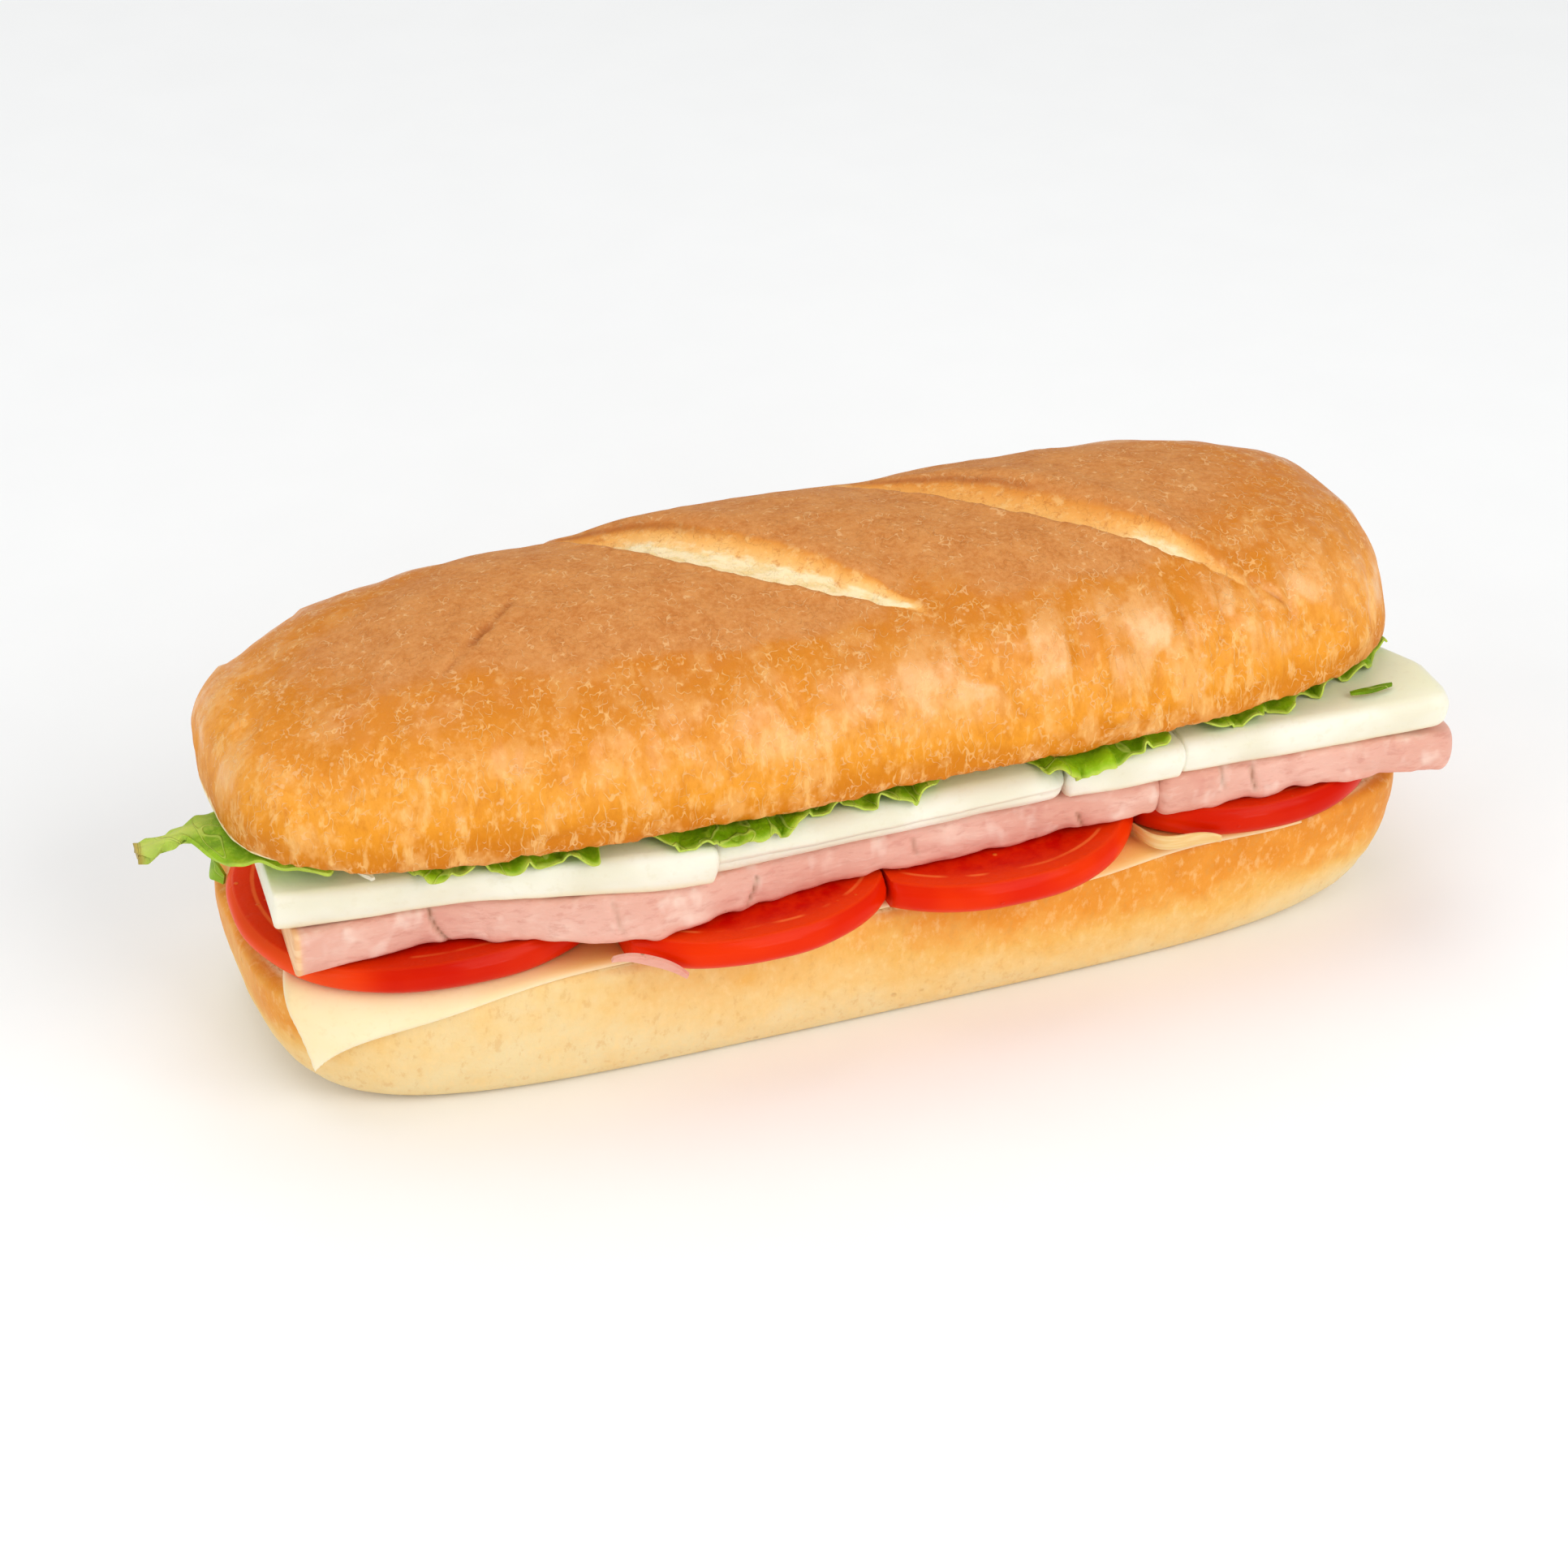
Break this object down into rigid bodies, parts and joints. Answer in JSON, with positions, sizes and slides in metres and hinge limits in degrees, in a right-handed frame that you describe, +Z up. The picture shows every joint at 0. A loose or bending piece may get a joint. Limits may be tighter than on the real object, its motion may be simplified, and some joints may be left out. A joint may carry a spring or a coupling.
{
  "type": "ham sandwich",
  "caption": "Ham sandwich on a long soft golden roll with two slashes, filled from end to end with ham, white and yellow cheese, tomato and lettuce.",
  "frame": {"origin": "middle of the flat base of the lower half of the roll, on the surface it rests on", "axes": "+X along the roll, +Y to the back, -Y to the side where the filling shows most, +Z up"},
  "size_m": [0.2614, 0.097, 0.0948],
  "materials": {
    "crust": "baked crust: brown and matt on top, golden and slightly glossy on the sides, cream and floury below",
    "white_cheese": "smooth ivory fresh cheese with a soft sheen",
    "yellow_cheese": "smooth pale yellow sliced cheese with a faint gloss",
    "ham": "moist pink cooked ham, marbled paler",
    "tomato": "wet glossy red slice with an orange-red skin",
    "lettuce": "fresh yellow-green leaf with pale ribs",
    "onion": "thin, moist and slightly see-through"
  },
  "bodies": {
    "root": {"bread_lower": "crust", "bread_upper": "crust", "ham_1": "ham", "ham_2": "ham", "ham_shred": "ham", "lettuce_1": "lettuce", "lettuce_2": "lettuce", "lettuce_3": "lettuce", "lettuce_4": "lettuce", "lettuce_5": "lettuce", "lettuce_curl": "lettuce", "lettuce_shred": "lettuce", "onion_strip": "onion", "tomato_1": "tomato", "tomato_2": "tomato", "tomato_3": "tomato", "tomato_4": "tomato", "white_cheese_1": "white_cheese", "white_cheese_2": "white_cheese", "white_cheese_3": "white_cheese", "white_cheese_4": "white_cheese", "yellow_cheese_1": "yellow_cheese", "yellow_cheese_2": "yellow_cheese", "yellow_cheese_3": "yellow_cheese"}
  },
  "joints": []
}
